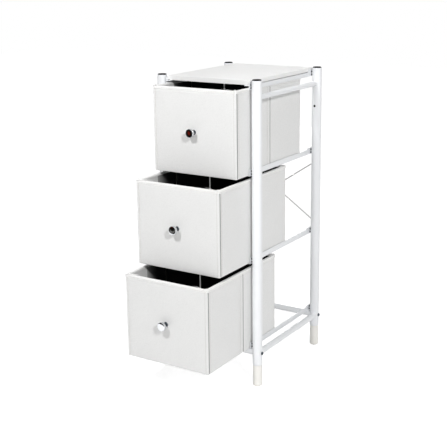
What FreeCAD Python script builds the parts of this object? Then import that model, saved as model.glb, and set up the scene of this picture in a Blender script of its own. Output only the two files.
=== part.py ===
import FreeCAD
import Part
import os

# Slim storage tower: a frame of white steel tube on four feet, with a board across the top
# and three leatherette boxes that slide on angle runners.
# Millimetres, +Z up, -Y to the front. The origin is on the floor, below the middle of the
# tower's box with the drawers pulled out as they are photographed.

# Frame
FRAME_WIDTH = 272.0        # between post axes, left to right
FRAME_DEPTH = 312.0        # between post axes, front to rear
POST_D = 25.0
POST_WALL = 1.5
POST_TOP = 769.5
RIM_ROUND = 0.6            # softened outer edge of the post's top
FOOT_HEIGHT = 57.0
FOOT_D = 23.0
FOOT_ROUND = 3.5
FOOT_SPIGOT = 25.0         # length of the foot inside the post
SEAM_GROOVE = 1.2          # height and depth of the groove where foot and post meet
CAP_RISE = 2.0             # flat button above the post's rim
CAP_ROUND = 1.0
CAP_PLUG = 12.0
UPPER_TUBE_D = 13.0
UPPER_TUBE_Z = 729.0
LOWER_TUBE_D = 16.0
LOWER_TUBE_Z = 85.0
CROSS_TUBE_D = 16.0
CROSS_TUBE_Z = 88.0
RAIL_TUBE_WALL = 1.2
HOLE_PLUG_D = 6.0
HOLE_PLUG_Z = 670.0

# Top board and the angle rails
BOARD_TOP = 768.5
BOARD_THICKNESS = 11.5
BOARD_WIDTH = 237.0
BOARD_PAST_REAR = 10.0     # behind the rear post axes
BOARD_ROUND = 1.0
REBATE_HEIGHT = 2.0        # thin shadow gap above each rail
REBATE_DEPTH = 5.0
RAIL_FACE_X = 120.0        # outer face of every angle, from the middle plane
ANGLE_THICKNESS = 1.2
ANGLE_FLANGE = 14.0
TOP_RAIL_HEIGHT = 10.5
RUNNER_HEIGHT = 13.5
RAIL_OVERHANG = 8.0        # past the post axes, front and rear
LUG_LENGTH = 28.0
LUG_SLANT = 1.5
RUNNER_LUG_RISE = 3.5
RAIL_LUG_RISE = 8.0        # beside the board's edge
SPACER_D = 4.6
SPACER_PITCH = 7.6         # two spacers at each end of an angle, one above the other
SPACER_LIFT = 4.2          # lower spacer, above the foot of the angle's face

# Bolts and screws
BOLT_D = 6.0
BOLT_HEAD_D = 8.5
BOLT_HEAD = 3.0
BOLT_SOCKET_D = 3.5
BOLT_REACH = 15.0          # into the cross tube's insert
INSERT_LENGTH = 20.0
SCREW_D = 4.0
SCREW_HEAD_D = 8.0
SCREW_HEAD = 2.4
SCREW_INSET = 60.0         # board screws, in from the post axes
CLEARANCE = 0.1            # round a bolt, screw or insert in its hole

# Back brace
WIRE_D = 3.6
WIRE_BOW = 4.0             # the falling wire passes behind the rising one
EYE_D = 11.0
EYE_THICKNESS = 2.0
BRACE_LOW_Z = 342.0
BRACE_HIGH_Z = 522.0
BRACE_SCREW_REACH = 6.0

# Drawers
DRAWER_WIDTH = 235.0
DRAWER_DEPTH = 320.0
DRAWER_HEIGHT = 209.5
DRAWER_BASE_Z = {"top": 540.5, "middle": 320.5, "bottom": 98.0}
PULLED_OUT = {"top": 52.0, "middle": 130.0, "bottom": 185.0}
SLIDE_GAP = 0.3            # under a drawer, above its runner
COVER = 1.0
WALL_BOARD = 3.2
LINING = 0.8
FOLD_GAP = 4.0             # between the two halves of a side
FOLD_SLIT = 1.0            # bare strip of the lining at the fold
FRONT_GAP = 6.5            # from the cover, inside its front, to the side boards
HINGE_GAP = 6.5            # from the cover to the nearest board at a rear corner
LINING_SLIT = 2.5          # bare strip beside each rear inner corner
TURN_IN = 75.0             # how far the cover's inner leaf runs back along the sides
CORNER_ROUND = 2.0
KNOB_D = 21.5
KNOB_NECK_D = 10.0
KNOB_BASE_D = 13.0
KNOB_PROJECTION = 22.5
KNOB_HEAD = 7.5
KNOB_ROUND = 0.9
KNOB_THREAD = 12.0

# Places worked out from the sizes above
POST_R = POST_D / 2
BORE_D = POST_D - 2 * POST_WALL
POST_X = FRAME_WIDTH / 2
REAR_MOST = FRAME_DEPTH + POST_R + WIRE_D + WIRE_BOW
FRONT_MOST = -POST_R - PULLED_OUT["bottom"] - KNOB_PROJECTION
FRONT_Y = -(REAR_MOST + FRONT_MOST) / 2
REAR_Y = FRONT_Y + FRAME_DEPTH
CLOSED_Y = FRONT_Y - POST_R
DRAWER_WALL = COVER + WALL_BOARD + LINING
BOARD_UNDER = BOARD_TOP - BOARD_THICKNESS
SIDES = {"left": -1, "right": 1}
ENDS = {"front": FRONT_Y, "rear": REAR_Y}

V = FreeCAD.Vector
X = V(1, 0, 0)
Y = V(0, 1, 0)
Z = V(0, 0, 1)


def save(node, *solids):
    """Write one named piece, or a group of like pieces, as a STEP file."""
    shape = solids[0] if len(solids) == 1 else Part.makeCompound(solids)
    shape.exportStep(f"parts/{node}.step")


def rod(start, axis, length, diameter):
    return Part.makeCylinder(diameter / 2, length, start, axis)


def tube(start, axis, length, diameter, wall):
    return rod(start, axis, length, diameter).cut(rod(start, axis, length, diameter - 2 * wall))


def block(low, high):
    size = high - low
    return Part.makeBox(size.x, size.y, size.z, low)


def extruded(corners, along):
    """Prism from a closed outline of points and a vector."""
    return Part.Face(Part.makePolygon([*corners, corners[0]])).extrude(along)


def lathe(start, axis, outline):
    """Solid of revolution. The outline's points are (radius, distance along the axis);
    a pair of points is an arc through the first to the second."""
    here = V(outline[0][0], 0, outline[0][1])
    edges = []
    for step in [*outline[1:], outline[0]]:
        if isinstance(step[0], tuple):
            middle, end = (V(r, 0, h) for r, h in step)
            edges.append(Part.Arc(here, middle, end).toShape())
        else:
            end = V(step[0], 0, step[1])
            edges.append(Part.LineSegment(here, end).toShape())
        here = end
    solid = Part.Face(Part.Wire(edges)).revolve(V(), Z, 360)
    solid.Placement = FreeCAD.Placement(start, FreeCAD.Rotation(Z, axis))
    return solid


def quarter(radius, height, size, turn_up):
    """Arc step of a lathe outline that rounds an outer corner at (radius, height)."""
    slack = size * (1 - 0.5 ** 0.5)
    if turn_up:
        return ((radius - slack, height + slack), (radius, height + size))
    return ((radius - slack, height - slack), (radius - size, height))


def pan_screw(seat, axis, head_d, head, shank_d, shank, socket_d=0.0):
    """Screw whose head stands on its seat along the axis and whose shank runs back from it."""
    edge = head * 0.5
    outline = [(0, -shank), (shank_d / 2, -shank), (shank_d / 2, 0), (head_d / 2, 0),
               (head_d / 2, head - edge), quarter(head_d / 2, head, edge, False)]
    if socket_d:
        outline += [(socket_d / 2, head), (socket_d / 2, edge), (0, edge)]
    else:
        outline += [(0, head)]
    return lathe(seat, axis, outline)


def post_core(x, y):
    """The post as a full round bar: what saddle ends are cut to."""
    return rod(V(x, y, 0), Z, POST_TOP, POST_D)


def post(x, y, is_rear):
    outline = [(BORE_D / 2, FOOT_HEIGHT), (POST_R, FOOT_HEIGHT), (POST_R, POST_TOP - RIM_ROUND),
               quarter(POST_R, POST_TOP, RIM_ROUND, False), (BORE_D / 2, POST_TOP)]
    holes = [rod(V(x - POST_D, y, CROSS_TUBE_Z), X, 2 * POST_D, BOLT_D + 2 * CLEARANCE)]
    if is_rear:
        for z in (BRACE_LOW_Z, BRACE_HIGH_Z):
            holes.append(rod(V(x, y, z), Y, POST_D, SCREW_D + 2 * CLEARANCE))
        holes.append(rod(V(x, y, HOLE_PLUG_Z), -Y, POST_D, HOLE_PLUG_D - 1))
    return lathe(V(x, y, 0), Z, outline).cut(holes)


def foot(x, y):
    r = FOOT_D / 2
    neck = r - SEAM_GROOVE
    seat = FOOT_HEIGHT - SEAM_GROOVE
    outline = [(0, 0), (r - FOOT_ROUND, 0), quarter(r, 0, FOOT_ROUND, True), (r, seat), (neck, seat),
               (neck, FOOT_HEIGHT), (BORE_D / 2, FOOT_HEIGHT), (BORE_D / 2, FOOT_HEIGHT + FOOT_SPIGOT),
               (0, FOOT_HEIGHT + FOOT_SPIGOT)]
    return lathe(V(x, y, 0), Z, outline)


def post_cap(x, y):
    """Plug in the top of a post, with a flat button above the rim."""
    r = BORE_D / 2
    outline = [(0, -CAP_PLUG), (r, -CAP_PLUG), (r, CAP_RISE - CAP_ROUND),
               quarter(r, CAP_RISE, CAP_ROUND, False), (0, CAP_RISE)]
    return lathe(V(x, y, POST_TOP), Z, outline)


def side_tube(x, z, diameter):
    bar = tube(V(x, FRONT_Y, z), Y, FRAME_DEPTH, diameter, RAIL_TUBE_WALL)
    return bar.cut([post_core(x, y) for y in ENDS.values()])


def cross_tube(y):
    bar = tube(V(-POST_X, y, CROSS_TUBE_Z), X, FRAME_WIDTH, CROSS_TUBE_D, RAIL_TUBE_WALL)
    return bar.cut([post_core(side * POST_X, y) for side in SIDES.values()])


def cross_tube_insert(side, y):
    outer = CROSS_TUBE_D - 2 * RAIL_TUBE_WALL - 2 * CLEARANCE
    start = V(side * (POST_X - POST_R - CLEARANCE), y, CROSS_TUBE_Z)
    return tube(start, -side * X, INSERT_LENGTH, outer, (outer - BOLT_D) / 2 - CLEARANCE)


def cross_tube_bolt(side, y):
    seat = V(side * (POST_X + POST_R), y, CROSS_TUBE_Z)
    return pan_screw(seat, side * X, BOLT_HEAD_D, BOLT_HEAD, BOLT_D, POST_D + BOLT_REACH, BOLT_SOCKET_D)


def angle(side, corner_z, up):
    """Steel angle along the frame: a flange at corner_z and an upright face, above it or below."""
    t = ANGLE_THICKNESS
    face = side * RAIL_FACE_X
    inner = side * (RAIL_FACE_X - t)
    tip = side * (RAIL_FACE_X - ANGLE_FLANGE)
    reach = RUNNER_HEIGHT if up else -TOP_RAIL_HEIGHT
    step = t if up else -t
    y = FRONT_Y - RAIL_OVERHANG
    section = [(face, corner_z), (face, corner_z + reach), (inner, corner_z + reach),
               (inner, corner_z + step), (tip, corner_z + step), (tip, corner_z)]
    return extruded([V(x, y, z) for x, z in section], (FRAME_DEPTH + 2 * RAIL_OVERHANG) * Y)


def lugs(side, z, rise):
    """Plates that raise an angle's upright face at both ends, from the height z."""
    face = side * RAIL_FACE_X
    plates = []
    for y, inward in ((FRONT_Y - RAIL_OVERHANG, 1), (REAR_Y + RAIL_OVERHANG, -1)):
        outline = [(y, z), (y, z + rise), (y + inward * (LUG_LENGTH - LUG_SLANT), z + rise),
                   (y + inward * LUG_LENGTH, z)]
        plates.append(extruded([V(face, a, b) for a, b in outline], -side * ANGLE_THICKNESS * X))
    return plates


def runner_foot(drawer_z):
    return drawer_z - SLIDE_GAP - ANGLE_THICKNESS


def runner(side, drawer_z):
    low = runner_foot(drawer_z)
    return angle(side, low, True).fuse(lugs(side, low + RUNNER_HEIGHT, RUNNER_LUG_RISE)).removeSplitter()


def rail_spacers(side, rail_foot):
    """Sleeves between an angle and its two posts, in pairs, with ends that fit the post."""
    sleeves = []
    for y in ENDS.values():
        for z in (rail_foot + SPACER_LIFT, rail_foot + SPACER_LIFT + SPACER_PITCH):
            sleeve = rod(V(side * RAIL_FACE_X, y, z), side * X, POST_X - RAIL_FACE_X, SPACER_D)
            sleeves.append(sleeve.cut(post_core(side * POST_X, y)))
    return sleeves


def board_screw_places(side):
    x = side * (RAIL_FACE_X - ANGLE_FLANGE / 2)
    return [V(x, y, BOARD_UNDER - ANGLE_THICKNESS) for y in (FRONT_Y + SCREW_INSET, REAR_Y - SCREW_INSET)]


def board_screw_holes(side):
    return [rod(place, Z, BOARD_THICKNESS, SCREW_D + 2 * CLEARANCE) for place in board_screw_places(side)]


def board_screw(place):
    return pan_screw(place, -Z, SCREW_HEAD_D, SCREW_HEAD, SCREW_D, BOARD_THICKNESS - 1)


def top_board():
    half = BOARD_WIDTH / 2
    back = REAR_Y + BOARD_PAST_REAR
    board = block(V(-half, FRONT_Y, BOARD_UNDER), V(half, back, BOARD_TOP))
    for side in SIDES.values():
        left, right = sorted((side * half, side * (half - REBATE_DEPTH)))
        rebate = block(V(left, FRONT_Y, BOARD_UNDER), V(right, back, BOARD_UNDER + REBATE_HEIGHT))
        board = board.cut([rebate, *board_screw_holes(side)])
    rounded = [e for e in board.Edges if e.BoundBox.ZMin > BOARD_TOP - BOARD_ROUND]
    return board.makeFillet(BOARD_ROUND, rounded)


def top_rail(side):
    rail = angle(side, BOARD_UNDER, False).fuse(lugs(side, BOARD_UNDER, RAIL_LUG_RISE)).removeSplitter()
    return rail.cut(board_screw_holes(side))


def brace_wire(left_z, right_z, bow):
    """Wire across the back from post to post with a flat eye at each end; bow pushes its middle back."""
    back = REAR_Y + POST_R
    y = back + WIRE_D / 2
    ends = [V(-POST_X, y, left_z), V(POST_X, y, right_z)]
    middle = (ends[0] + ends[1]) / 2 + bow * Y
    path = Part.LineSegment(*ends) if bow == 0 else Part.Arc(ends[0], middle, ends[1])
    spine = Part.Wire([path.toShape()])
    section = Part.Wire([Part.Circle(ends[0], spine.Edges[0].tangentAt(0), WIRE_D / 2).toShape()])
    wire = spine.makePipeShell([section], True, False)
    for x, z in ((-POST_X, left_z), (POST_X, right_z)):
        eye = rod(V(x, back, z), Y, EYE_THICKNESS, EYE_D)
        head_room = rod(V(x, back + EYE_THICKNESS, z), Y, POST_D, SCREW_HEAD_D + 2 * CLEARANCE)
        hole = rod(V(x, back, z), Y, EYE_THICKNESS, SCREW_D + 2 * CLEARANCE)
        wire = wire.fuse(eye).cut([head_room, hole])
    return wire


def brace_screw(side, z):
    seat = V(side * POST_X, REAR_Y + POST_R + EYE_THICKNESS, z)
    return pan_screw(seat, Y, SCREW_HEAD_D, SCREW_HEAD, SCREW_D, EYE_THICKNESS + BRACE_SCREW_REACH)


def post_hole_plug(x):
    seat = V(x, REAR_Y - POST_R, HOLE_PLUG_Z)
    return pan_screw(seat, -Y, HOLE_PLUG_D, 1.0, HOLE_PLUG_D - 1, 4.0)


def at_drawer(name, shape):
    """Move a drawer piece from the drawer's own corner frame to its photographed place."""
    moved = shape.copy()
    moved.translate(V(0, CLOSED_Y - PULLED_OUT[name], DRAWER_BASE_Z[name]))
    return moved


def drawer_block(inset, low, high):
    """Full plan of the drawer, drawn in by an inset on all four sides, between two heights."""
    half = DRAWER_WIDTH / 2 - inset
    return block(V(-half, inset, low), V(half, DRAWER_DEPTH - inset, high))


def knob_hole():
    return rod(V(0, 0, DRAWER_HEIGHT / 2), Y, 2 * DRAWER_WALL, SCREW_D + 2 * CLEARANCE)


def inner_leaf():
    """The cover's turned-in leaf: inside the front and along the front part of both sides."""
    floor = COVER + WALL_BOARD + LINING
    half = DRAWER_WIDTH / 2
    layer = drawer_block(COVER + WALL_BOARD, floor, DRAWER_HEIGHT - COVER / 2)
    front_part = block(V(-half, 0, floor), V(half, DRAWER_WALL + TURN_IN, DRAWER_HEIGHT))
    return layer.common(front_part).cut(drawer_block(DRAWER_WALL, floor, DRAWER_HEIGHT))


def drawer_cover():
    under_rim = DRAWER_HEIGHT - COVER
    box = drawer_block(0, 0, DRAWER_HEIGHT)
    upright = [e for e in box.Edges if e.BoundBox.ZLength > DRAWER_HEIGHT / 2]
    box = box.makeFillet(CORNER_ROUND, upright)
    hollow = drawer_block(COVER, COVER, under_rim)
    mouth = drawer_block(DRAWER_WALL, COVER, DRAWER_HEIGHT)
    shell = box.cut([hollow, mouth]).fuse(inner_leaf()).removeSplitter()
    return shell.cut(knob_hole())


def drawer_end_board(y, half):
    return block(V(-half, y, COVER), V(half, y + WALL_BOARD, DRAWER_HEIGHT - COVER))


def drawer_side_boards(side):
    outer = side * (DRAWER_WIDTH / 2 - COVER)
    x = sorted((outer, outer - side * WALL_BOARD))
    fold = DRAWER_DEPTH / 2
    front_half = (COVER + FRONT_GAP, fold - FOLD_GAP / 2)
    rear_half = (fold + FOLD_GAP / 2, DRAWER_DEPTH - COVER - HINGE_GAP)
    return [block(V(x[0], a, COVER), V(x[1], b, DRAWER_HEIGHT - COVER)) for a, b in (front_half, rear_half)]


def lining_slits():
    """Bare strips where the box hinges: down both rear corners and both folds."""
    floor = DRAWER_WALL
    outer = DRAWER_WIDTH / 2 - COVER - WALL_BOARD
    inner = outer - LINING
    rear = DRAWER_DEPTH - COVER - WALL_BOARD
    fold = DRAWER_DEPTH / 2
    slits = []
    for side in SIDES.values():
        for tip, y1, y2 in ((inner, fold - FOLD_SLIT / 2, fold + FOLD_SLIT / 2),
                            (inner - LINING_SLIT, rear - LINING - LINING_SLIT, rear)):
            left, right = sorted((side * tip, side * outer))
            slits.append(block(V(left, y1, floor), V(right, y2, DRAWER_HEIGHT)))
    return slits


def drawer_lining():
    floor = COVER + WALL_BOARD
    outer = drawer_block(COVER + WALL_BOARD, floor, DRAWER_HEIGHT - COVER)
    hollow = drawer_block(DRAWER_WALL, floor + LINING, DRAWER_HEIGHT)
    return outer.cut([hollow, inner_leaf(), *lining_slits()])


def knob():
    r = KNOB_D / 2
    neck = KNOB_NECK_D / 2
    waist = KNOB_PROJECTION - KNOB_HEAD
    outline = [(SCREW_D / 2 + CLEARANCE, 0), (KNOB_BASE_D / 2, 0),
               ((neck, waist * 0.4), (r - KNOB_ROUND, waist)), quarter(r, waist, KNOB_ROUND, True),
               (r, KNOB_PROJECTION - KNOB_ROUND), quarter(r, KNOB_PROJECTION, KNOB_ROUND, False),
               (0, KNOB_PROJECTION), (0, KNOB_THREAD), (SCREW_D / 2 + CLEARANCE, KNOB_THREAD)]
    return lathe(V(0, 0, DRAWER_HEIGHT / 2), -Y, outline)


def knob_screw():
    seat = V(0, DRAWER_WALL, DRAWER_HEIGHT / 2)
    return pan_screw(seat, Y, SCREW_HEAD_D, SCREW_HEAD, SCREW_D, DRAWER_WALL + KNOB_THREAD - 1)


os.makedirs("parts", exist_ok=True)

caps = []
inserts = []
bolts = []
for end, y in ENDS.items():
    for side_name, side in SIDES.items():
        x = side * POST_X
        save(f"post_{end}_{side_name}", post(x, y, end == "rear"))
        save(f"foot_{end}_{side_name}", foot(x, y))
        caps.append(post_cap(x, y))
        inserts.append(cross_tube_insert(side, y))
        bolts.append(cross_tube_bolt(side, y))
    save(f"{end}_cross_tube", cross_tube(y))
save("post_caps", *caps)
save("cross_tube_inserts", *inserts)
save("cross_tube_bolts", *bolts)
save("top_board", top_board())
save("board_screws", *[board_screw(place) for side in SIDES.values() for place in board_screw_places(side)])

spacers = []
for side_name, side in SIDES.items():
    save(f"upper_side_tube_{side_name}", side_tube(side * POST_X, UPPER_TUBE_Z, UPPER_TUBE_D))
    save(f"lower_side_tube_{side_name}", side_tube(side * POST_X, LOWER_TUBE_Z, LOWER_TUBE_D))
    save(f"top_rail_{side_name}", top_rail(side))
    spacers += rail_spacers(side, BOARD_UNDER - TOP_RAIL_HEIGHT)
    for name, base_z in DRAWER_BASE_Z.items():
        save(f"runner_{name}_{side_name}", runner(side, base_z))
        spacers += rail_spacers(side, runner_foot(base_z))
save("rail_spacers", *spacers)

save("brace_wire_rising", brace_wire(BRACE_LOW_Z, BRACE_HIGH_Z, 0))
save("brace_wire_falling", brace_wire(BRACE_HIGH_Z, BRACE_LOW_Z, WIRE_BOW))
save("brace_screws", *[brace_screw(s, z) for s in SIDES.values() for z in (BRACE_LOW_Z, BRACE_HIGH_Z)])
save("post_hole_plugs", *[post_hole_plug(s * POST_X) for s in SIDES.values()])

end_half = DRAWER_WIDTH / 2 - COVER
for name in DRAWER_BASE_Z:
    pieces = {
        "cover": [drawer_cover()],
        "lining": [drawer_lining()],
        "front_board": [drawer_end_board(COVER, end_half).cut(knob_hole())],
        "back_board": [drawer_end_board(DRAWER_DEPTH - COVER - WALL_BOARD, end_half - HINGE_GAP)],
        "left_boards": drawer_side_boards(-1),
        "right_boards": drawer_side_boards(1),
        "base_board": [drawer_block(COVER + WALL_BOARD, COVER, COVER + WALL_BOARD)],
        "knob": [knob()],
        "knob_screw": [knob_screw()],
    }
    for piece, solids in pieces.items():
        save(f"drawer_{name}_{piece}", *[at_drawer(name, s) for s in solids])
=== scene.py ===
# %% [markdown]
# # A tube-frame tower with three soft-covered drawers
# The frame, feet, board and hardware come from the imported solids, which are already the right shape.
# What the solids can't show is modelled here: the leatherette skins with their folds and seams, the
# bound rims, the black linings, the polished knobs and the weld beads. Everything is in metres.

# %% Load the frame
import math

import bmesh
import bpy
from mathutils import Matrix, Vector


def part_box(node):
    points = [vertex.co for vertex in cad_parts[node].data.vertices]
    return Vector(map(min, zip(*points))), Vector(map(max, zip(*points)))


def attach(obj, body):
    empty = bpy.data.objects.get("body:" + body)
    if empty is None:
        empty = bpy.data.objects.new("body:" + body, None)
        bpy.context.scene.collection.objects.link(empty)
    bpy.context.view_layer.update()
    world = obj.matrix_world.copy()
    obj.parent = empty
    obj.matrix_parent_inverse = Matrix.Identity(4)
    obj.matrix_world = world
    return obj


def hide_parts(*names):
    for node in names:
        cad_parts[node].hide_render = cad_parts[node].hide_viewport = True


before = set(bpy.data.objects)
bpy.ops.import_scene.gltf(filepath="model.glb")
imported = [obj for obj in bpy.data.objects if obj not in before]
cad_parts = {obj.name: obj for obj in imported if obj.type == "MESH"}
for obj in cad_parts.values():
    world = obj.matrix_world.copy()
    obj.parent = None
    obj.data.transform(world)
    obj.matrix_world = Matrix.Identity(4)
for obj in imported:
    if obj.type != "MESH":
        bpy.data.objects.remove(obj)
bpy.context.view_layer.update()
MM = 0.001
print("solids:", len(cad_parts))

# %% [markdown]
# ## Camera
# The photograph was taken from the front right, a little above the tower. A camera's place can be found
# by hand, or worked out from points whose place on the object is known. The second is exact, so these
# numbers come from fitting the post tops, feet and drawer corners to their places in the picture. The
# lens is shifted down a little. That lets the camera tilt less, so the posts stay nearly upright.

# %% The camera
PICTURE, FOCAL_PIXELS = 447, 954.6   # the picture's side and the focal length, in pixels
SENSOR = 36                          # mm
CAMERA_SPOT = (1.26158, -1.98277, 1.04186)
YAW, PITCH, ROLL = 0.56484, 0.23303, -0.01109
LENS_SHIFT = -0.08
turned = Matrix.Rotation(YAW, 3, "Z") @ Matrix.Rotation(math.pi / 2 - PITCH, 3, "X")
bpy.ops.object.camera_add(location=CAMERA_SPOT,
                          rotation=(turned @ Matrix.Rotation(ROLL, 3, "Z")).to_euler())
camera = bpy.context.object
camera.data.sensor_width = SENSOR
camera.data.lens = FOCAL_PIXELS / PICTURE * SENSOR
camera.data.shift_y = LENS_SHIFT
bpy.context.scene.camera = camera
print("lens:", round(camera.data.lens, 1), "mm")

# %% [markdown]
# ## Colours and nodes
# A finish is a Principled shader with a few textures in front of it. Colours are written as the hex
# values a paint chart would give, and turned to the linear numbers that the renderer works in. One small
# function adds a node, sets what is a number and links what is a socket. Two more start a finish and
# feed the textures into its shader.


# %% Helpers for finishes
def linear(code):
    """Linear colour of an sRGB hex code such as F2F1EF."""
    parts = [int(code[i:i + 2], 16) / 255 for i in (0, 2, 4)]
    return [c / 12.92 if c <= 0.04045 else ((c + 0.055) / 1.055) ** 2.4 for c in parts] + [1.0]


def add_node(tree, kind, inputs, **settings):
    """Add a node; each input is a value or the socket that feeds it."""
    node = tree.nodes.new(kind)
    for name, value in settings.items():
        setattr(node, name, value)
    for name, value in inputs.items():
        if isinstance(value, bpy.types.NodeSocket):
            tree.links.new(value, node.inputs[name])
        else:
            node.inputs[name].default_value = value
    return node


def start_finish(name, **values):
    """New material: its node tree, its shader with the given values, and Object coordinates."""
    material = bpy.data.materials.new(name)
    material.use_nodes = True
    tree = material.node_tree
    shader = tree.nodes["Principled BSDF"]
    for socket, value in values.items():
        shader.inputs[socket.replace("_", " ")].default_value = value
    return material, tree, shader, tree.nodes.new("ShaderNodeTexCoord").outputs["Object"]


def feed(tree, shader, **sockets):
    """Link each socket to the shader's input of that name."""
    for name, socket in sockets.items():
        tree.links.new(socket, shader.inputs[name.replace("_", " ")])


# %% [markdown]
# ## White powder coat on steel
# Powder paint melts into a thick skin. It rounds every cut edge by about half a millimetre and sets with
# a faint orange peel, ripples two to three millimetres across. A Bevel node rounds the edges for the
# light only, and a noise at the ripple's size gives the orange peel.

# %% Powder coat
powder_coat, tree, shader, place = start_finish("powder_coated_steel", IOR=1.5)
peel = add_node(tree, "ShaderNodeTexNoise", {"Vector": place, "Scale": 1 / (2.5 * MM), "Detail": 1.0})
cloud = add_node(tree, "ShaderNodeTexNoise", {"Vector": place, "Scale": 1 / (60 * MM), "Detail": 3.0})
tone = add_node(tree, "ShaderNodeValToRGB", {"Fac": cloud.outputs["Fac"]})
tone.color_ramp.elements[0].color = linear("E5E7E9")
tone.color_ramp.elements[1].color = linear("EBECEE")
gloss = add_node(tree, "ShaderNodeMapRange", {"Value": cloud.outputs["Fac"],
                                              "To Min": 0.28, "To Max": 0.40})
soft_edge = add_node(tree, "ShaderNodeBevel", {"Radius": 0.5 * MM}, samples=4)
ripple = add_node(tree, "ShaderNodeBump", {"Height": peel.outputs["Fac"], "Distance": 0.03 * MM,
                                           "Strength": 0.6, "Normal": soft_edge.outputs["Normal"]})
feed(tree, shader, Base_Color=tone.outputs["Color"], Roughness=gloss.outputs["Result"],
     Normal=ripple.outputs["Normal"])
print("made", powder_coat.name)

# %% [markdown]
# ## Plastics
# The feet are moulded polypropylene: warm off-white, slightly waxy, with a fine spark-eroded grain and a
# little grime where they meet the floor. The caps and hole plugs are black polyethylene. Its fine matt
# grain scatters so well that even a low view across a cap stays black, so it gets no mirror layer.

# %% Foot plastic
foot_plastic, tree, shader, place = start_finish(
    "moulded_polypropylene", IOR=1.49, Subsurface_Weight=0.08, Subsurface_Radius=(1, 0.9, 0.8),
    Subsurface_Scale=2 * MM)
GRIME_HEIGHT = 7 * MM
grit = add_node(tree, "ShaderNodeTexNoise", {"Vector": place, "Scale": 1 / (0.8 * MM), "Detail": 2.0})
blotch = add_node(tree, "ShaderNodeTexNoise", {"Vector": place, "Scale": 1 / (9 * MM), "Detail": 4.0})
height = add_node(tree, "ShaderNodeSeparateXYZ", {"Vector": place})
near_floor = add_node(tree, "ShaderNodeMapRange", {"Value": height.outputs["Z"],
                                                   "From Min": 0.0, "From Max": GRIME_HEIGHT,
                                                   "To Min": 0.7, "To Max": 0.0})
grime = add_node(tree, "ShaderNodeMath", {0: near_floor.outputs["Result"], 1: blotch.outputs["Fac"]},
                 operation="MULTIPLY")
colour = add_node(tree, "ShaderNodeMix", {"Factor": grime.outputs["Value"], "A": linear("EDEBE6"),
                                          "B": linear("B7B1A6")}, data_type="RGBA")
wax = add_node(tree, "ShaderNodeMapRange", {"Value": blotch.outputs["Fac"],
                                            "To Min": 0.40, "To Max": 0.52})
grain = add_node(tree, "ShaderNodeBump", {"Height": grit.outputs["Fac"], "Distance": 0.03 * MM})
feed(tree, shader, Base_Color=colour.outputs["Result"], Roughness=wax.outputs["Result"],
     Normal=grain.outputs["Normal"])
print("made", foot_plastic.name)

# %% Black plastic
black_plastic, tree, shader, place = start_finish("black_polyethylene", Specular_IOR_Level=0.0)
haze = add_node(tree, "ShaderNodeTexNoise", {"Vector": place, "Scale": 1 / (5 * MM), "Detail": 3.0})
dust = add_node(tree, "ShaderNodeValToRGB", {"Fac": haze.outputs["Fac"]})
dust.color_ramp.elements[0].color = linear("050506")
dust.color_ramp.elements[1].color = linear("0E0E10")
matt = add_node(tree, "ShaderNodeMapRange", {"Value": haze.outputs["Fac"], "To Min": 0.5, "To Max": 0.65})
sink = add_node(tree, "ShaderNodeBump", {"Height": haze.outputs["Fac"], "Distance": 0.05 * MM})
feed(tree, shader, Base_Color=dust.outputs["Color"], Roughness=matt.outputs["Result"],
     Normal=sink.outputs["Normal"])
print("made", black_plastic.name)

# %% [markdown]
# ## Boards
# The top is particle board faced with white melamine paper. Pressed against a steel plate, it takes a
# fine pearl texture, under a millimetre across, and its sawn edges are softened by the edge banding.
# The drawers are stiffened by grey paperboard, whose fibres show as a soft fleck.

# %% Melamine-faced board
white_board, tree, shader, place = start_finish("melamine_faced_board", IOR=1.52)
pearl = add_node(tree, "ShaderNodeTexNoise", {"Vector": place, "Scale": 1 / (0.9 * MM), "Detail": 1.0})
cloud = add_node(tree, "ShaderNodeTexNoise", {"Vector": place, "Scale": 1 / (90 * MM), "Detail": 3.0})
tone = add_node(tree, "ShaderNodeValToRGB", {"Fac": cloud.outputs["Fac"]})
tone.color_ramp.elements[0].color = linear("EBEBEA")
tone.color_ramp.elements[1].color = linear("F0F0EF")
matt = add_node(tree, "ShaderNodeMapRange", {"Value": pearl.outputs["Fac"],
                                             "To Min": 0.34, "To Max": 0.46})
soft_edge = add_node(tree, "ShaderNodeBevel", {"Radius": 0.6 * MM}, samples=4)
pores = add_node(tree, "ShaderNodeBump", {"Height": pearl.outputs["Fac"], "Distance": 0.03 * MM,
                                          "Normal": soft_edge.outputs["Normal"]})
feed(tree, shader, Base_Color=tone.outputs["Color"], Roughness=matt.outputs["Result"],
     Normal=pores.outputs["Normal"])
print("made", white_board.name)

# %% Paperboard inside the drawer walls
grey_board, tree, shader, place = start_finish("recycled_paperboard", Roughness=0.85)
fibre = add_node(tree, "ShaderNodeTexNoise", {"Vector": place, "Scale": 1 / (1.2 * MM), "Detail": 5.0})
tone = add_node(tree, "ShaderNodeValToRGB", {"Fac": fibre.outputs["Fac"]})
tone.color_ramp.elements[0].color = linear("98948C")
tone.color_ramp.elements[1].color = linear("BDB9B1")
fuzz = add_node(tree, "ShaderNodeBump", {"Height": fibre.outputs["Fac"], "Distance": 0.1 * MM})
feed(tree, shader, Base_Color=tone.outputs["Color"], Normal=fuzz.outputs["Normal"])
print("made", grey_board.name)

# %% [markdown]
# ## Metals
# Three bare metals show. The frame bolts are black zinc, the brace wires and small screws zinc plate that
# is cloudy and has dulled, and the knobs are polished chrome, smooth enough to mirror the room with a
# trace of haze.

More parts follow.
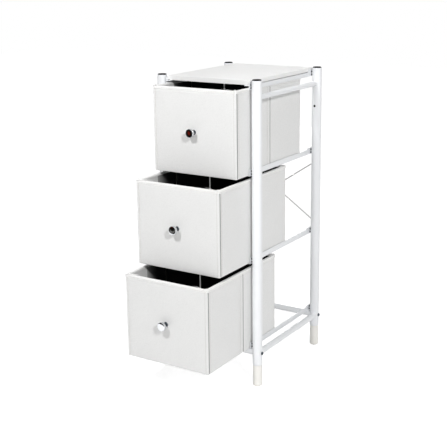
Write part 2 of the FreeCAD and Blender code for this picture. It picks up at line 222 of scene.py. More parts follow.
# %% Black zinc, zinc plate and chrome
metals = {}
for name, dark, light, smooth, rough, cloud_mm in (
        ("black_zinc_steel", "3A4046", "4E555C", 0.32, 0.5, 3),
        ("zinc_plated_steel", "BCBBBA", "CCCBCA", 0.2, 0.42, 4),
        ("polished_chrome", "C8CACD", "D2D4D6", 0.03, 0.09, 12)):
    metals[name], tree, shader, place = start_finish(name, Metallic=1.0)
    cloud = add_node(tree, "ShaderNodeTexNoise", {"Vector": place, "Scale": 1 / (cloud_mm * MM),
                                                  "Detail": 4.0})
    tone = add_node(tree, "ShaderNodeValToRGB", {"Fac": cloud.outputs["Fac"]})
    tone.color_ramp.elements[0].color = linear(dark)
    tone.color_ramp.elements[1].color = linear(light)
    polish = add_node(tree, "ShaderNodeMapRange", {"Value": cloud.outputs["Fac"],
                                                   "To Min": smooth, "To Max": rough})
    feed(tree, shader, Base_Color=tone.outputs["Color"], Roughness=polish.outputs["Result"])
print("made", ", ".join(metals))

# %% [markdown]
# ## Leatherette
# The drawers are covered in white PVC leathercloth. Its embossed grain is a net of pebbles about a
# millimetre across with fine valleys between them. At this picture's size that would vanish, so the
# pebbles are drawn two millimetres across. The valleys are duller and a touch darker than the pebbles.
# The same cloth is thin enough to glow where no board backs it, at the rear corners and the folds, so
# those strips get a copy of the finish that lets light through. Deep in the groove and the crease the
# cloth is painted grey as painted shade, in another copy with a darker set of colours.

# %% Leatherette, its hinge strips, its painted groove shade and its binding tape
leathers = {}
for name, valley, shade, light, pebble_mm, relief_mm, through in (
        ("white_leatherette", "DEDEDD", "E6E6E5", "EBEBEA", 2.0, 0.10, 0.0),
        ("white_leatherette_unbacked", "DEDEDD", "E6E6E5", "EBEBEA", 2.0, 0.10, 1.0),
        # This grey copy is painted shade for the bottoms of the groove and the crease.
        ("leatherette_painted_groove_shade", "6A6866", "727070", "807E7C", 0.8, 0.10, 0.0),
        ("leatherette_binding_tape", "EBEAE9", "F5F5F4", "F8F8F7", 1.2, 0.05, 0.0)):
    leathers[name], tree, shader, place = start_finish(
        name, IOR=1.53, Sheen_Weight=0.06, Sheen_Roughness=0.4, Subsurface_Weight=through,
        Subsurface_Scale=3 * MM, Subsurface_Radius=(1, 1, 1))
    net = add_node(tree, "ShaderNodeTexVoronoi", {"Vector": place, "Scale": 1 / (pebble_mm * MM)},
                   feature="DISTANCE_TO_EDGE")
    pebble = add_node(tree, "ShaderNodeMapRange", {"Value": net.outputs["Distance"], "From Max": 0.22},
                      interpolation_type="SMOOTHSTEP")
    cloud = add_node(tree, "ShaderNodeTexNoise", {"Vector": place, "Scale": 1 / (45 * MM), "Detail": 3.0})
    tone = add_node(tree, "ShaderNodeValToRGB", {"Fac": cloud.outputs["Fac"]})
    tone.color_ramp.elements[0].color = linear(shade)
    tone.color_ramp.elements[1].color = linear(light)
    colour = add_node(tree, "ShaderNodeMix", {"Factor": pebble.outputs["Result"], "A": linear(valley),
                                              "B": tone.outputs["Color"]}, data_type="RGBA")
    gloss = add_node(tree, "ShaderNodeMapRange", {"Value": pebble.outputs["Result"],
                                                  "To Min": 0.55, "To Max": 0.38})
    emboss = add_node(tree, "ShaderNodeBump", {"Height": pebble.outputs["Result"],
                                               "Distance": relief_mm * MM, "Strength": 0.5})
    feed(tree, shader, Base_Color=colour.outputs["Result"], Roughness=gloss.outputs["Result"],
         Normal=emboss.outputs["Normal"])
print("made", ", ".join(leathers))

# %% [markdown]
# ## Thread and lining
# The seams are sewn in white polyester thread, two plies twisted about twice in a stitch. The lining is
# black nonwoven, matt, bonded in a staggered field of pressed dots less than two millimetres apart. In
# places it is painted light grey, a painted spill of light, as much as an attribute of the mesh says.

# %% Sewing thread
thread, tree, shader, place = start_finish("polyester_sewing_thread", Roughness=0.6, Sheen_Weight=0.2)
plies = add_node(tree, "ShaderNodeTexWave", {"Vector": place, "Scale": 0.3 / (0.9 * MM)},
                 bands_direction="DIAGONAL")
# Painted shade: the thread is white, and this grey, darker between the plies, stands in for the shade on
# the stitches.
tone = add_node(tree, "ShaderNodeValToRGB", {"Fac": plies.outputs["Fac"]})
tone.color_ramp.elements[0].color = linear("B9B7B3")
tone.color_ramp.elements[1].color = linear("D8D6D2")
twist = add_node(tree, "ShaderNodeBump", {"Height": plies.outputs["Fac"], "Distance": 0.12 * MM})
feed(tree, shader, Base_Color=tone.outputs["Color"], Normal=twist.outputs["Normal"])
print("made", thread.name)

# %% Black nonwoven
LIGHT_SPILL = "painted_light_spill"
nonwoven, tree, shader, place = start_finish("black_nonwoven_lining", Roughness=0.95, Sheen_Weight=0.05,
                                             Specular_IOR_Level=0.2)
dots = add_node(tree, "ShaderNodeTexVoronoi", {"Vector": place, "Scale": 1 / (1.8 * MM),
                                               "Randomness": 0.25})
fibre = add_node(tree, "ShaderNodeTexNoise", {"Vector": place, "Scale": 1 / (0.6 * MM), "Detail": 4.0})
pressed = add_node(tree, "ShaderNodeMapRange", {"Value": dots.outputs["Distance"], "From Max": 0.5},
                   interpolation_type="SMOOTHSTEP")
tone = add_node(tree, "ShaderNodeValToRGB", {"Fac": fibre.outputs["Fac"]})
tone.color_ramp.elements[0].color = linear("0B0B0D")
tone.color_ramp.elements[1].color = linear("1C1C1F")
field = add_node(tree, "ShaderNodeBump", {"Height": pressed.outputs["Result"], "Distance": 0.15 * MM})
amount = add_node(tree, "ShaderNodeAttribute", {}, attribute_name=LIGHT_SPILL)
# The light grey mixed in here is painted light, as strong as the attribute says.
colour = add_node(tree, "ShaderNodeMix", {"Factor": amount.outputs["Fac"], "A": tone.outputs["Color"],
                                          "B": linear("A4A4A3")}, data_type="RGBA")
feed(tree, shader, Base_Color=colour.outputs["Result"], Normal=field.outputs["Normal"])
print("made", nonwoven.name)

# %% [markdown]
# ## Finishes on the solids
# Each solid came in with a plain stand-in named for its slot, so a table from slot to finish dresses the
# whole frame in one pass.

# %% Dress the solids
FINISHES = {
    "white_powder_coat": powder_coat,
    "foot_plastic": foot_plastic,
    "black_plastic": black_plastic,
    "white_board": white_board,
    "dark_bolt": metals["black_zinc_steel"],
    "zinc_steel": metals["zinc_plated_steel"],
    "leatherette": leathers["white_leatherette"],
    "black_lining": nonwoven,
    "grey_board": grey_board,
    "polished_chrome": metals["polished_chrome"],
}
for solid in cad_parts.values():
    for slot in solid.material_slots:
        slot.material = FINISHES[slot.material.name]
print("dressed", len(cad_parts), "solids")

# %% [markdown]
# ## Modelling helpers
# The new pieces start as primitives and are shaped in edit mode. An operator works on what is selected,
# so one helper starts a box with nothing else selected, and one picks its corners, edges or faces by a
# test. Another cuts straight loops across a piece, and the last two apply a modifier and give a piece its
# finishes.

# %% Start, pick, cut and finish
X, Y, Z = 0, 1, 2


def add_box(name, low, high):
    """A box between two corners, left in edit mode, with its place in its mesh."""
    bpy.ops.object.select_all(action="DESELECT")
    bpy.ops.mesh.primitive_cube_add(size=1, location=(low + high) / 2, scale=high - low)
    bpy.ops.object.transform_apply(location=True, rotation=True, scale=True)
    box = bpy.context.object
    box.name = box.data.name = name
    bpy.ops.object.mode_set(mode="EDIT")
    return box


def pick(kind, test):
    """Select the verts, edges or faces that pass the test, which gets the middle and the item."""
    bpy.ops.mesh.select_mode(type={"verts": "VERT", "edges": "EDGE", "faces": "FACE"}[kind])
    bpy.ops.mesh.select_all(action="DESELECT")
    mesh = bmesh.from_edit_mesh(bpy.context.edit_object.data)
    for item in getattr(mesh, kind):
        corners = [item.co] if kind == "verts" else [v.co for v in item.verts]
        item.select_set(test(sum(corners, Vector()) / len(corners), item))
    mesh.select_flush_mode()


def is_upright(edge):
    run = edge.verts[0].co - edge.verts[1].co
    return abs(run.z) > 0.99 * run.length


def cut(axis, places):
    """Cut loops across the whole piece, square to an axis."""
    normal = Vector((axis == X, axis == Y, axis == Z))
    for place in places:
        bpy.ops.mesh.select_all(action="SELECT")
        bpy.ops.mesh.bisect(plane_co=normal * place, plane_no=normal)


def between(start, end, parts):
    """The places that divide a stretch into equal parts."""
    return [start + (end - start) * i / parts for i in range(1, parts)]


def modify(piece, kind, **settings):
    """Add a modifier with its settings and apply it."""
    modifier = piece.modifiers.new(kind.lower(), kind)
    for name, value in settings.items():
        setattr(modifier, name, value)
    bpy.ops.object.modifier_apply(modifier=modifier.name)


def finish(piece, *materials, angle=35):
    """Smooth the piece's rounded edges and give it its finishes."""
    bpy.ops.object.shade_smooth_by_angle(angle=math.radians(angle))
    for material in materials:
        piece.data.materials.append(material)
    print(piece.name, len(piece.data.polygons), "faces")


# %% [markdown]
# ## Drawer skin
# Each drawer is a box of thin boards in one leatherette skin. The cloth dips into the gaps between the
# boards: a groove behind the front panel's edge and a crease at the fold halfway along each side. It is
# also drawn in along each sewn line, just below the rim's tape, and where the turned-in cloth ends a
# little further down. One box, cut into a grid, gives loops to push in for those marks, and the rest of
# the panels get a slight unevenness, because glued cloth never lies quite flat.

# %% Sizes of a drawer
low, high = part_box("drawer_top_cover")
left, front, bottom = low
right, back, top = high
fold = (front + back) / 2
above_base = bottom + 4 * MM                            # the walls, clear of the base's rounded edge
SKIN, BOARD, LINING = 1.0 * MM, 3.2 * MM, 0.8 * MM
WALL = SKIN + BOARD + LINING
GROOVE, GROOVE_HALF, GROOVE_DEPTH = front + 5.6 * MM, 1.4 * MM, 2.6 * MM   # behind the front board
CREASE_HALF, CREASE_DEPTH = 1.1 * MM, 2.2 * MM          # at the fold
SIDE_SEAM, FOLD_SEAM, FRONT_SEAM = front + 12 * MM, fold - 13 * MM, right - 6.0 * MM
SEAM_HALF, SEAM_DEPTH = 1.0 * MM, 0.3 * MM
RIM_DIP, RIM_DEPTH = top - 7.2 * MM, 0.7 * MM           # below the binding
HEM, HEM_DEPTH = top - 13 * MM, 0.35 * MM               # at the end of the turned-in cloth
SLIT, FOLD_SLIT = 2.5 * MM, 3.0 * MM                    # bare strips in the lining: rear corners, folds
AT_EDGE, AT_LINE = MM / 10, MM / 50                     # so near counts as on an edge, or on a line
print("drawer in mm:", [round(side / MM, 1) for side in high - low])

# %% Outer skin: a rounded open box
FRONT_ROUND, REAR_ROUND, BASE_ROUND = 1.4 * MM, 3.5 * MM, 1.5 * MM
skin = add_box("drawer_top_skin", low, high)
pick("faces", lambda middle, face: face.normal.z > 0.9)
bpy.ops.mesh.delete(type="FACE")
for rounding, is_front in ((FRONT_ROUND, True), (REAR_ROUND, False)):
    pick("edges", lambda middle, edge: is_upright(edge) and (middle.y < fold) == is_front
         and abs(abs(middle.x) - right) < AT_EDGE and min(middle.y - front, back - middle.y) < AT_EDGE)
    bpy.ops.mesh.bevel(offset=rounding, segments=4)
pick("edges", lambda middle, edge: middle.z < bottom + AT_EDGE)
bpy.ops.mesh.bevel(offset=BASE_ROUND, segments=3)
print("rounded box:", len(bmesh.from_edit_mesh(skin.data).faces), "faces")

# %% Cut lines for the marks
DIP = [-1.0, -0.6, -0.3, 0.0, 0.3, 0.6, 1.0]   # loops across a pressed line, in half widths
across, along = between(left, right, 16), between(front, back, 21)
cut(X, across + [side * (FRONT_SEAM + SEAM_HALF * step) for side in (-1, 1) for step in DIP])
for line, half_width in ((GROOVE, GROOVE_HALF), (fold, CREASE_HALF),
                         (SIDE_SEAM, SEAM_HALF), (FOLD_SEAM, SEAM_HALF)):
    cut(Y, [line + half_width * step for step in DIP])
cut(Y, along)
cut(Z, between(bottom, top, 15))
cut(Z, [line + SEAM_HALF * step for line in (RIM_DIP, HEM) for step in DIP])
print("skin grid:", len(bmesh.from_edit_mesh(skin.data).faces), "faces")

# %% [markdown]
# The grooves are pushed in with a rounded profile, half a cosine wave. The sides get the groove, the
# crease and two sewn lines, and the front panel gets a sewn line near each edge. The lines below the rim
# go along both sides, and the upper one across the front too.


# %% A press, and tests for the faces it works on
def press(axis, line, half_width, depth, on_face, push):
    """Push in the loops around a line, deepest in the middle."""
    for step in DIP[1:-1]:
        loop = line + half_width * step
        pick("verts", lambda middle, vert: abs(middle[axis] - loop) < AT_LINE and on_face(middle))
        bpy.ops.transform.translate(value=push * depth * (0.5 + 0.5 * math.cos(math.pi * step)))


def on_right(point):
    return point.x > right - AT_LINE


def on_left(point):
    return point.x < left + AT_LINE


def on_front(point):
    return point.y < front + AT_LINE


# %% Press in the grooves, creases and sewn lines
FROM_RIGHT, FROM_LEFT = Vector((-1, 0, 0)), Vector((1, 0, 0))
FROM_FRONT, FROM_BACK = Vector((0, 1, 0)), Vector((0, -1, 0))
for on_side, inward in ((on_right, FROM_RIGHT), (on_left, FROM_LEFT)):
    press(Y, GROOVE, GROOVE_HALF, GROOVE_DEPTH, on_side, inward)
    press(Y, fold, CREASE_HALF, CREASE_DEPTH, on_side, inward)
    for line in (SIDE_SEAM, FOLD_SEAM):
        press(Y, line, SEAM_HALF, SEAM_DEPTH, on_side, inward)
    press(Z, RIM_DIP, SEAM_HALF, RIM_DEPTH, on_side, inward)
    press(Z, HEM, SEAM_HALF, HEM_DEPTH, on_side, inward)
for line in (FRONT_SEAM, -FRONT_SEAM):
    press(X, line, SEAM_HALF, SEAM_DEPTH, on_front, FROM_FRONT)
press(Z, RIM_DIP, SEAM_HALF, RIM_DEPTH, on_front, FROM_FRONT)
bpy.ops.object.mode_set(mode="OBJECT")
groove = [v.co.x for v in skin.data.vertices if abs(v.co.y - GROOVE) < AT_LINE and v.co.z > above_base]
print("groove is pressed in by", round((right - max(groove)) / MM, 1), "mm")

# %% Uneven cloth with a thickness
UNEVEN_SIZE, UNEVEN_HEIGHT = 70 * MM, 0.7 * MM
panels = skin.vertex_groups.new(name="panels")
panels.add([v.index for v in skin.data.vertices if v.co.z > above_base], 1.0, "REPLACE")
unevenness = bpy.data.textures.new("glued_cloth_unevenness", "CLOUDS")
unevenness.noise_scale = UNEVEN_SIZE
modify(skin, "DISPLACE", texture=unevenness, texture_coords="LOCAL", vertex_group=panels.name,
       strength=UNEVEN_HEIGHT, mid_level=0.5)
modify(skin, "SOLIDIFY", thickness=SKIN, offset=-1, use_even_offset=True)
print("cloth with a thickness:", len(skin.data.polygons), "faces")

# %% [markdown]
# The skin turns over the rim and runs down inside the front and a hand's width along both sides, where
# the black lining takes over. That inner leaf is an open U of the same cloth, joined to the skin.

# %% Inner leaf
LEAF_FRONT = front + WALL
LEAF_END = LEAF_FRONT + 75 * MM
LEAF_ROUND, LEAF_STEP = 1.2 * MM, 12 * MM
leaf = add_box("leaf", Vector((left + WALL - LINING, LEAF_FRONT - LINING, bottom + WALL)),
               Vector((right - WALL + LINING, LEAF_END, top - MM)))
pick("faces", lambda middle, face: abs(face.normal.z) > 0.9 or face.normal.y > 0.9)
bpy.ops.mesh.delete(type="FACE")
pick("edges", lambda middle, edge: is_upright(edge) and middle.y < LEAF_FRONT)
bpy.ops.mesh.bevel(offset=LEAF_ROUND, segments=3)
cut(Y, [LEAF_FRONT + LEAF_STEP * i for i in range(1, 6)])
bpy.ops.object.mode_set(mode="OBJECT")
modify(leaf, "SOLIDIFY", thickness=LINING, offset=-1, use_even_offset=True)
skin.select_set(True)
bpy.context.view_layer.objects.active = skin
bpy.ops.object.join()
finish(skin, leathers["white_leatherette"], leathers["white_leatherette_unbacked"],
       leathers["leatherette_painted_groove_shade"])

# %% [markdown]
# The strips with no board behind them, and the faces deep in the groove and the crease that are painted
# with shade, get their own copies of the finish. A face belongs to them by its place, and by how deep it
# lies below the drawer's side.

# %% Unbacked strips and painted shade in the groove and the crease
CLOTH, UNBACKED, GROOVE_SHADE = range(3)
CORNER, FOLD_DEPTH = 7.5 * MM, 5 * MM
SHADE_FROM, SHADE_TO = 0.3 * MM, 4 * MM
for face in skin.data.polygons:
    depth = right - abs(face.center.x)
    at_corner = back - face.center.y < CORNER and depth < CORNER
    in_fold = abs(face.center.y - fold) < FOLD_SLIT and depth < FOLD_DEPTH
    in_line = abs(face.center.y - GROOVE) < GROOVE_HALF or abs(face.center.y - fold) < CREASE_HALF
    is_outside = face.normal.x * face.center.x > 0
    # Outside faces deep in the groove or the crease get the grey of painted shade.
    shows_shade = in_line and is_outside and SHADE_FROM < depth < SHADE_TO
    if face.center.z > above_base:
        face.material_index = GROOVE_SHADE if shows_shade else UNBACKED if at_corner or in_fold else CLOTH
print("faces that show backing or raw edges:", sum(f.material_index > CLOTH for f in skin.data.polygons))

# %% [markdown]
# ## Rim binding
# A tape is folded over the rim and sewn through. It is a long U in section, all the way round, so it is
# made from one box: inset the top, push the inside down, open the bottom, round the edges, and give the
# sheet its thickness. A shallow channel runs where the stitches pull it in.

# %% Binding tape
PROUD, TAPE = 0.9 * MM, 0.5 * MM               # how far it stands out from the skin, and its thickness
TAPE_OUTSIDE, TAPE_INSIDE = 6 * MM, 5 * MM     # how far it reaches down
OUTER_ROUND, INNER_ROUND, TOP_ROUND = 2.4 * MM, 0.6 * MM, 1.1 * MM
out = Vector((PROUD, PROUD, 0))
binding = add_box("drawer_top_binding", Vector((left, front, top - TAPE_OUTSIDE)) - out,
                  high + out + Vector((0, 0, PROUD)))
pick("faces", lambda middle, face: face.normal.z > 0.9)
bpy.ops.mesh.inset(thickness=WALL + 2 * PROUD)
bpy.ops.mesh.extrude_region_move(TRANSFORM_OT_translate={"value": (0, 0, -TAPE_INSIDE)})
pick("faces", lambda middle, face: abs(face.normal.z) > 0.9 and middle.z < top - MM)
bpy.ops.mesh.delete(type="FACE")
for rounding, is_outer in ((OUTER_ROUND, True), (INNER_ROUND, False)):
    pick("edges", lambda middle, edge: is_upright(edge) and (abs(middle.x) > right - MM) == is_outer)
    bpy.ops.mesh.bevel(offset=rounding, segments=4)
pick("edges", lambda middle, edge: middle.z > top + PROUD / 2 and abs(edge.calc_face_angle(0)) > 0.5)
bpy.ops.mesh.bevel(offset=TOP_ROUND, segments=3)
print("folded tape:", len(bmesh.from_edit_mesh(binding.data).faces), "faces")

# %% The channel under the stitches
RIM_SEAM = top - 4 * MM
CHANNEL_HALF, CHANNEL_DEPTH = 0.8 * MM, 0.45 * MM
cut(Z, [RIM_SEAM + CHANNEL_HALF * step for step in DIP])
cut(X, across)
cut(Y, along)
for on_tape, inward in ((lambda p: p.x > right, FROM_RIGHT), (lambda p: p.x < left, FROM_LEFT),
                        (lambda p: p.y < front, FROM_FRONT), (lambda p: p.y > back, FROM_BACK)):
    press(Z, RIM_SEAM, CHANNEL_HALF, CHANNEL_DEPTH, on_tape, inward)
bpy.ops.object.mode_set(mode="OBJECT")
modify(binding, "SOLIDIFY", thickness=TAPE, offset=-1, use_even_offset=True)
finish(binding, leathers["leatherette_binding_tape"])

# %% [markdown]
# ## Stitches
# A lockstitch shows as a row of short thread ends, about four millimetres long with a small gap. One
# stitch is a thin six-sided bar with chamfered ends, repeated along each seam by an Array modifier.

# %% Where the rows start, which way they run and how many stitches they have
STITCH, STITCH_PITCH, THREAD_RADIUS, CHAMFER = 3.8 * MM, 5 * MM, 0.55 * MM, 0.25 * MM
SUNK, RAISED = 0.2 * MM, 0.35 * MM             # in the skin's sewn lines, and on the tape
UP, BACKWARDS, RIGHTWARDS = Vector((0, 0, 1)), Vector((0, 1, 0)), Vector((1, 0, 0))
seam_foot, seam_start = bottom + 6 * MM, 5 * MM
rows = []
for side in (-1, 1):
    rows.append((Vector((side * FRONT_SEAM, front + SUNK, seam_foot)), UP, 40))
    for line in (SIDE_SEAM, FOLD_SEAM):
        rows.append((Vector((side * (right - SUNK), line, seam_foot)), UP, 40))
    rows.append((Vector((side * (right + RAISED), front + seam_start, RIM_SEAM)), BACKWARDS, 63))
for y in (front - RAISED, back + RAISED):
    rows.append((Vector((left + seam_start, y, RIM_SEAM)), RIGHTWARDS, 46))
print(len(rows), "rows with", sum(count for start, run, count in rows), "stitches")

# %% Rows of stitches
stitch_rows = []
for start, run, count in rows:
    bpy.ops.object.select_all(action="DESELECT")
    bpy.ops.mesh.primitive_cylinder_add(vertices=6, radius=THREAD_RADIUS, depth=STITCH, location=start,
                                        rotation=run.to_track_quat("Z", "X").to_euler())
    bpy.ops.object.transform_apply(location=True, rotation=True, scale=True)
    row = bpy.context.object
    bpy.ops.object.mode_set(mode="EDIT")
    pick("faces", lambda middle, face: abs(face.normal.dot(run)) > 0.9)
    bpy.ops.mesh.bevel(offset=CHAMFER, segments=1)
    bpy.ops.object.mode_set(mode="OBJECT")
    modify(row, "ARRAY", count=count, use_relative_offset=False, use_constant_offset=True,
           constant_offset_displace=run * STITCH_PITCH)
    stitch_rows.append(row)
for row in stitch_rows:
    row.select_set(True)
bpy.ops.object.join()
stitches = bpy.context.object
stitches.name = stitches.data.name = "drawer_top_stitches"
finish(stitches, thread)

# %% [markdown]
# ## Lining
# Black panels are glued inside the boards, with bare strips at the rear corners and the folds so that
# the box can hinge. One open box, cut at the strips, loses the faces over them and behind the leaf. Next
# to the leaf the black cloth is painted light grey, a painted spill of light that fades out over five
# centimetres. How much goes into an attribute of the mesh, which the lining's finish reads.

# %% Lining panels and floor
LIGHT_SPILL_REACH, LIGHT_SPILL_STEPS = 50 * MM, 5
inset = WALL - LINING
floor_edge, lining_top = bottom + WALL + MM, top - 1.2 * MM
slit_x, slit_y = right - WALL - SLIT, back - WALL - SLIT
lining = add_box("drawer_top_lining_cloth", Vector((left + inset, front + inset, bottom + inset)),
                 Vector((right - inset, back - inset, lining_top)))
pick("faces", lambda middle, face: face.normal.z > 0.9 or face.normal.y < -0.9)
bpy.ops.mesh.delete(type="FACE")
cut(X, [-slit_x, slit_x] + across)
cut(Y, [LEAF_END + LIGHT_SPILL_REACH / LIGHT_SPILL_STEPS * i for i in range(LIGHT_SPILL_STEPS + 1)])
cut(Y, [fold - FOLD_SLIT / 2, fold + FOLD_SLIT / 2, slit_y] + along)
cut(Z, [floor_edge] + between(bottom, top, 8))
pick("faces", lambda middle, face: abs(face.normal.z) < 0.5 and middle.z > floor_edge and (
    middle.y < LEAF_END or abs(middle.y - fold) < FOLD_SLIT / 2
    or (middle.y > slit_y and abs(middle.x) > slit_x)))
bpy.ops.mesh.delete(type="FACE")
bpy.ops.object.mode_set(mode="OBJECT")
modify(lining, "SOLIDIFY", thickness=LINING, offset=-1, use_even_offset=True)
finish(lining, nonwoven)

# %% Painted spill of light on the lining beside the leaf
# Painted light: strongest at the leaf's end, fading to nothing over the reach.
light_spill = lining.data.attributes.new(LIGHT_SPILL, "FLOAT", "POINT")
for v, point in zip(lining.data.vertices, light_spill.data):
    past_leaf = max(0, (v.co.y - LEAF_END) / LIGHT_SPILL_REACH)
    on_wall = abs(v.co.x) > right - WALL - MM and v.co.z > floor_edge - MM / 2
    point.value = (1 - past_leaf) ** 2 if on_wall and past_leaf < 1 else 0.0
print("points with white fluff:", sum(point.value > 0 for point in light_spill.data))

# %% [markdown]
# ## Knob
# The knob is turned brass, chromed: a flared foot, a slim neck and a thick disc with a slightly domed
# face. The neck is left black between the two polished ends. Turning can be done with a spin, or by
# extruding a ring outwards and scaling each new ring to its radius. The second is shorter to read: each
# pair below is a radius and a distance from the drawer, in millimetres.

# %% Turned knob
KNOB_RINGS = ((6.5, 0.0), (6.5, 0.6), (6.1, 1.4), (5.4, 3.2), (5.0, 5.6), (5.2, 8.0), (6.2, 10.8),
              (8.0, 13.2), (9.6, 14.5), (10.35, 15.1), (10.7, 15.8), (10.75, 16.8), (10.75, 20.6),
              (10.7, 21.2), (10.45, 21.65), (9.9, 21.9), (8.6, 22.08), (6.0, 22.3), (3.2, 22.45),
              (1.0, 22.5))
knob_low, knob_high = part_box("drawer_top_knob")
knob_axis = (knob_low + knob_high) / 2
radius, reach = KNOB_RINGS[0]
bpy.ops.object.select_all(action="DESELECT")
bpy.ops.mesh.primitive_circle_add(vertices=48, radius=radius * MM, rotation=(math.pi / 2, 0, 0),
                                  location=(knob_axis.x, knob_high.y, knob_axis.z))
bpy.ops.object.transform_apply(location=True, rotation=True, scale=True)
knob = bpy.context.object
knob.name = knob.data.name = "drawer_top_turned_knob"
bpy.ops.object.mode_set(mode="EDIT")
bpy.ops.mesh.select_mode(type="EDGE")
bpy.ops.mesh.select_all(action="SELECT")
for new_radius, new_reach in KNOB_RINGS[1:]:
    bpy.ops.mesh.extrude_region_move(TRANSFORM_OT_translate={"value": (0, (reach - new_reach) * MM, 0)})
    scale = new_radius / radius
    bpy.ops.transform.resize(value=(scale, 1, scale),
                             center_override=(knob_axis.x, knob_high.y - new_reach * MM, knob_axis.z))
    radius, reach = new_radius, new_reach
bpy.ops.mesh.edge_face_add()
pick("edges", lambda middle, edge: edge.is_boundary)
bpy.ops.mesh.edge_face_add()
bpy.ops.mesh.select_all(action="SELECT")
bpy.ops.mesh.normals_make_consistent(inside=False)
bpy.ops.object.mode_set(mode="OBJECT")
modify(knob, "SUBSURF", levels=1, render_levels=1)
finish(knob, metals["polished_chrome"], metals["black_zinc_steel"], angle=60)

# %% The black neck
NECK_START, NECK_END = 1.4 * MM, 14.8 * MM
for face in knob.data.polygons:
    face.material_index = int(NECK_START < knob_high.y - face.center.y < NECK_END)
print("black faces on the neck:", sum(face.material_index for face in knob.data.polygons))

# %% [markdown]
# ## Three drawers from one
# The middle and bottom drawers are the same box further down and further out. Each piece is copied with
# its own mesh, which is moved by the difference between the solids' places, then tied to its body.

# %% Copy the drawers and tie every piece to its body
PIECES = {   # each piece's slot, and the solid that it stands for
    "skin": ("leatherette", "cover"),
    "binding": ("leatherette", None),
    "stitches": ("leatherette", None),
    "lining_cloth": ("black_lining", "lining"),
    "turned_knob": ("polished_chrome", "knob"),
}
for drawer in ("top", "middle", "bottom"):
    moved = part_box(f"drawer_{drawer}_base_board")[0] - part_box("drawer_top_base_board")[0]
    for piece_name, (slot, node) in PIECES.items():
        piece = bpy.data.objects[f"drawer_top_{piece_name}"]
        if drawer != "top":
            piece = piece.copy()
            piece.data = piece.data.copy()
            piece.data.transform(Matrix.Translation(moved))
            piece.name = piece.data.name = f"drawer_{drawer}_{piece_name}"
            bpy.context.collection.objects.link(piece)
        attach(piece, f"drawer_{drawer}")
        if node:
            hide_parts(f"drawer_{drawer}_{node}")
print("drawers dressed with", len(PIECES), "pieces each")

# %% [markdown]
# ## Weld beads
# The side tubes are welded to the posts, and the paint smooths each weld into a small fillet. A ring the
# size of the tube is bent to the post's round: every point slides along the tube to the post's surface.

# %% Weld beads on the side tubes
POST_RADIUS, BEAD_RADIUS = 12.5 * MM, 1.5 * MM
beads = []
for end, outward in (("front", 1), ("rear", -1)):
    for side in ("left", "right"):
        post_low, post_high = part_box(f"post_{end}_{side}")
        post = (post_low + post_high) / 2
        for tube in ("upper", "lower"):
            tube_low, tube_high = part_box(f"{tube}_side_tube_{side}")
            bpy.ops.object.select_all(action="DESELECT")
            bpy.ops.mesh.primitive_torus_add(
                location=(post.x, 0, (tube_low.z + tube_high.z) / 2), rotation=(math.pi / 2, 0, 0),
                major_radius=(tube_high.x - tube_low.x) / 2, minor_radius=BEAD_RADIUS,
                major_segments=40, minor_segments=10)
            bpy.ops.object.transform_apply(location=True, rotation=True, scale=True)
            bead = bpy.context.object
            for v in bead.data.vertices:
                beside = min(abs(v.co.x - post.x), 0.9 * POST_RADIUS)
                v.co.y += post.y + outward * math.sqrt(POST_RADIUS ** 2 - beside ** 2)
            beads.append(bead)
for bead in beads:
    bead.select_set(True)
bpy.ops.object.join()
welds = bpy.context.object
welds.name = welds.data.name = "weld_beads"
finish(welds, powder_coat, angle=60)
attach(welds, "frame")

# %% [markdown]
# ## Studio
# The photograph is a cut-out on white. The floor and the world look white to the camera and to polished
# metal, but they light the tower at a plain level. Near the tower the floor glows a little less, so that
# it keeps a faint shadow. Further away the camera sees its glow alone: with lamplight on top it would be
# brighter than white, and eat into the edges of the posts.


# %% Floor
def seen_directly(tree):
    """A socket that is 1 for what the camera sees, straight or in a reflection, and 0 for light."""
    ray = add_node(tree, "ShaderNodeLightPath", {})
    seen = ray.outputs["Is Camera Ray"]
    for kind in ("Is Glossy Ray", "Is Transmission Ray"):
        either = add_node(tree, "ShaderNodeMath", {0: seen, 1: ray.outputs[kind]}, operation="MAXIMUM")
        seen = either.outputs["Value"]
    return seen


FLOOR_SIZE, NEAR, FAR, NEAR_GLOW = 14, 0.4, 1.4, 0.7
bpy.ops.object.select_all(action="DESELECT")
bpy.ops.mesh.primitive_plane_add(size=FLOOR_SIZE)
floor = bpy.context.object
floor.name = "floor"
floor_paint, tree, shader, place = start_finish(
    "white_studio_floor", Roughness=0.9, Specular_IOR_Level=0.1, Emission_Color=linear("FFFFFF"))
away = add_node(tree, "ShaderNodeVectorMath", {0: place}, operation="LENGTH")
far = add_node(tree, "ShaderNodeMapRange", {"Value": away.outputs["Value"],
                                            "From Min": NEAR, "From Max": FAR})
glow = add_node(tree, "ShaderNodeMapRange", {"Value": far.outputs["Result"], "To Min": NEAR_GLOW})
strength = add_node(tree, "ShaderNodeMath", {0: seen_directly(tree), 1: glow.outputs["Result"]},
                    operation="MULTIPLY")
direct = add_node(tree, "ShaderNodeLightPath", {}).outputs["Is Camera Ray"]
only_glow = add_node(tree, "ShaderNodeMath", {0: direct, 1: far.outputs["Result"]}, operation="MULTIPLY")
paint = add_node(tree, "ShaderNodeMix", {"Factor": only_glow.outputs["Value"], "A": linear("E6E6E6"),
                                         "B": linear("000000")}, data_type="RGBA")
feed(tree, shader, Base_Color=paint.outputs["Result"], Emission_Strength=strength.outputs["Value"])
floor.data.materials.append(floor_paint)
print("floor:", FLOOR_SIZE, "m along a side")

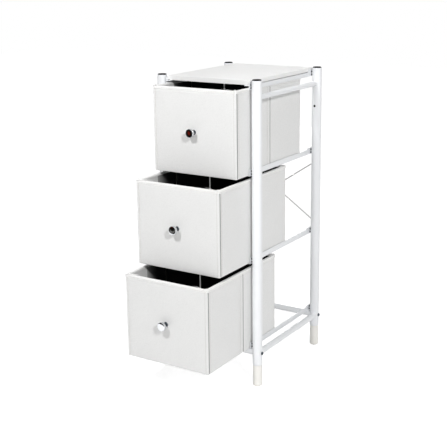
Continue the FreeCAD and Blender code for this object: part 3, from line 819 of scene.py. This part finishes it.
# %% World
WORLD_LIGHT = 0.22
world = bpy.data.worlds.new("white_studio")
bpy.context.scene.world = world
world.use_nodes = True
sky = world.node_tree.nodes["Background"]
sky.inputs["Color"].default_value = linear("FFFFFF")
level = add_node(world.node_tree, "ShaderNodeMapRange", {"Value": seen_directly(world.node_tree),
                                                         "To Min": WORLD_LIGHT})
feed(world.node_tree, sky, Strength=level.outputs["Result"])
print("world lights the tower at", WORLD_LIGHT)

# %% [markdown]
# A dark card stands in front and bends along the floor. It is seen only in reflections, because polished
# metal needs something dark to mirror, and its warm patch is the one that the top knob shows. Round the
# patch the card is dark, with a grey ring that the other knobs catch.

# %% Dark card
CARD_SIZE, CARD_SPOT, CARD_FOOT = 2, (-0.9, -1.3, 1.0), (0, 0.34, 0.002)
PATCH_SPOT = (-0.79, -1.3, 0.42)
bpy.ops.object.select_all(action="DESELECT")
bpy.ops.mesh.primitive_plane_add(size=CARD_SIZE, location=CARD_SPOT, rotation=(math.pi / 2, 0, 0))
bpy.ops.object.transform_apply(location=True, rotation=True, scale=True)
card = bpy.context.object
card.name = "dark_card"
bpy.ops.object.mode_set(mode="EDIT")
pick("edges", lambda middle, edge: middle.z < 0.01)
bpy.ops.mesh.extrude_region_move(TRANSFORM_OT_translate={"value": CARD_FOOT})
bpy.ops.object.mode_set(mode="OBJECT")
card_paint, tree, shader, place = start_finish("dark_card", Roughness=1.0, Base_Color=linear("000000"),
                                               Specular_IOR_Level=0.0, Emission_Strength=1.0)
patch = add_node(tree, "ShaderNodeVectorMath", {0: place, 1: PATCH_SPOT}, operation="DISTANCE")
glow = add_node(tree, "ShaderNodeValToRGB", {"Fac": patch.outputs["Value"]})
stops = glow.color_ramp.elements
stops[0].position, stops[0].color = 0.09, linear("7A2014")
stops[1].position, stops[1].color = 0.17, linear("16120F")
for position, code in ((0.38, "1B1917"), (0.42, "8E8D8A"), (0.46, "8E8D8A"), (0.5, "1E1C1A")):
    stops.new(position).color = linear(code)
feed(tree, shader, Emission_Color=glow.outputs["Color"])
card.data.materials.append(card_paint)
card.visible_camera = card.visible_diffuse = card.visible_shadow = False
print("dark card with", len(stops), "colour stops")

# %% [markdown]
# A small lamp high in front draws the knobs' shadows, and one far up on the right draws the lines beside
# the posts and under the tubes. Large weak lamps fill in from the right, from above and from behind,
# where the last stays low so that the board doesn't mirror it. Each row below is a power in watts, a size
# and a place.

# %% Lamps
LAMP_TARGET = Vector((0, -0.2, 0.45))
LAMPS = {
    "front_lamp": (16.8, 0.12, (0.045, -1.5, 1.72)),
    "right_lamp": (135, 0.45, (3.6, -2.9, 2.95)),
    "right_fill": (13, 2.0, (4.5, 0.6, 1.1)),
    "top_fill": (20, 2.5, (0.3, 0.3, 4.0)),
    "back_fill": (50, 1.0, (-1.6, 3.4, 0.4)),
}
for name, (power, size, spot) in LAMPS.items():
    aim = LAMP_TARGET - Vector(spot)
    bpy.ops.object.light_add(type="AREA", location=spot, rotation=aim.to_track_quat("-Z", "Y").to_euler())
    lamp = bpy.context.object
    lamp.name = lamp.data.name = name
    lamp.data.energy = power
    lamp.data.size = size
bpy.context.scene.view_settings.view_transform = "Standard"
print("lamps:", ", ".join(LAMPS))
